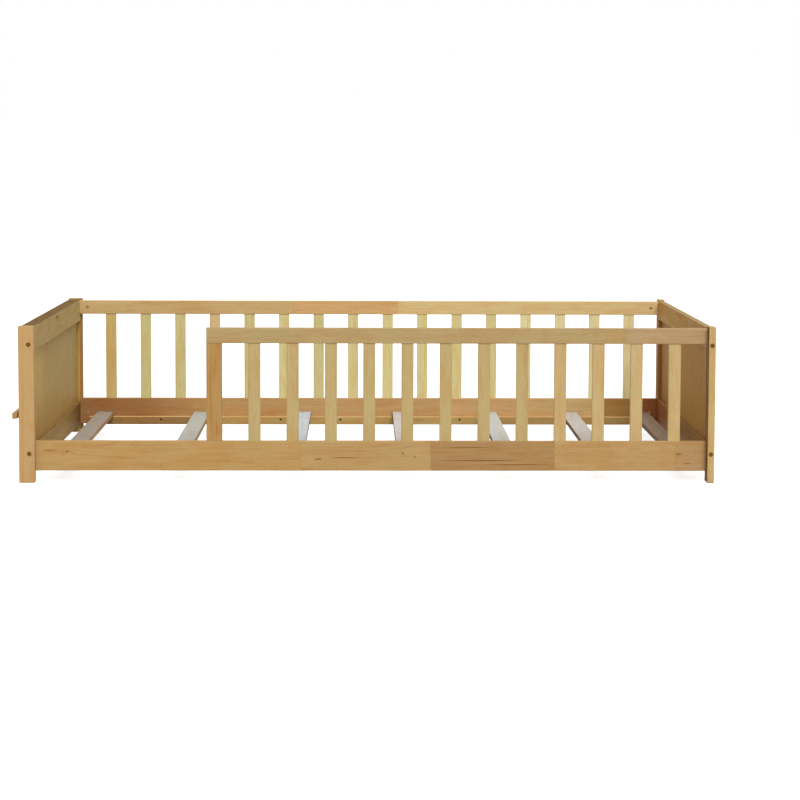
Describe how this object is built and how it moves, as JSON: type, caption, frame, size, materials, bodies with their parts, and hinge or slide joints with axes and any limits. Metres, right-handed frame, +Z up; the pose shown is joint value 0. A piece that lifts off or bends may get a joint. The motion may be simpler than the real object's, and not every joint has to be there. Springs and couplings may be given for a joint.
{
  "type": "toddler floor bed",
  "caption": "Low wooden floor bed with panelled ends, slatted side rails, a partial front guard and a narrow book ledge outside the headboard.",
  "frame": {"origin": "centre of the footprint on the floor, under the bounding box", "axes": "+X along the bed from head to foot, +Y from the open front to the back, +Z up"},
  "size_m": [2.0186, 1.09, 0.452],
  "materials": {
    "frame_wood": "clear satin lacquer on pale hardwood",
    "panel_wood": "clear satin lacquer on veneered board",
    "slat_wood": "smooth pale slat stock",
    "black_steel": "dark bronze bolt finish",
    "plated_steel": "zinc plated"
  },
  "bodies": {
    "root": {"barrel_nuts": "plated_steel", "book_ledge_board": "frame_wood", "book_ledge_lip": "frame_wood", "footboard_bottom_rail": "frame_wood", "footboard_front_post": "frame_wood", "footboard_panel": "panel_wood", "footboard_rear_post": "frame_wood", "footboard_top_rail": "frame_wood", "front_ledger": "frame_wood", "front_side_rail": "frame_wood", "guard_baluster_01": "frame_wood", "guard_baluster_02": "frame_wood", "guard_baluster_03": "frame_wood", "guard_baluster_04": "frame_wood", "guard_baluster_05": "frame_wood", "guard_baluster_06": "frame_wood", "guard_baluster_07": "frame_wood", "guard_baluster_08": "frame_wood", "guard_baluster_09": "frame_wood", "guard_baluster_10": "frame_wood", "guard_baluster_11": "frame_wood", "guard_baluster_12": "frame_wood", "guard_end_post": "frame_wood", "guard_top_rail": "frame_wood", "headboard_back_rail": "frame_wood", "headboard_bottom_rail": "frame_wood", "headboard_front_post": "frame_wood", "headboard_panel": "panel_wood", "headboard_rear_post": "frame_wood", "headboard_top_rail": "frame_wood", "ledger_screws": "plated_steel", "post_bolts": "black_steel", "rail_bolts": "black_steel", "rear_baluster_01": "frame_wood", "rear_baluster_02": "frame_wood", "rear_baluster_03": "frame_wood", "rear_baluster_04": "frame_wood", "rear_baluster_05": "frame_wood", "rear_baluster_06": "frame_wood", "rear_baluster_07": "frame_wood", "rear_baluster_08": "frame_wood", "rear_baluster_09": "frame_wood", "rear_baluster_10": "frame_wood", "rear_baluster_11": "frame_wood", "rear_baluster_12": "frame_wood", "rear_baluster_13": "frame_wood", "rear_baluster_14": "frame_wood", "rear_baluster_15": "frame_wood", "rear_baluster_16": "frame_wood", "rear_ledger": "frame_wood", "rear_side_rail": "frame_wood", "rear_top_rail": "frame_wood", "slat_1": "slat_wood", "slat_2": "slat_wood", "slat_3": "slat_wood", "slat_4": "slat_wood", "slat_5": "slat_wood", "slat_6": "slat_wood", "slat_7": "slat_wood", "slat_screws": "plated_steel"}
  },
  "joints": []
}
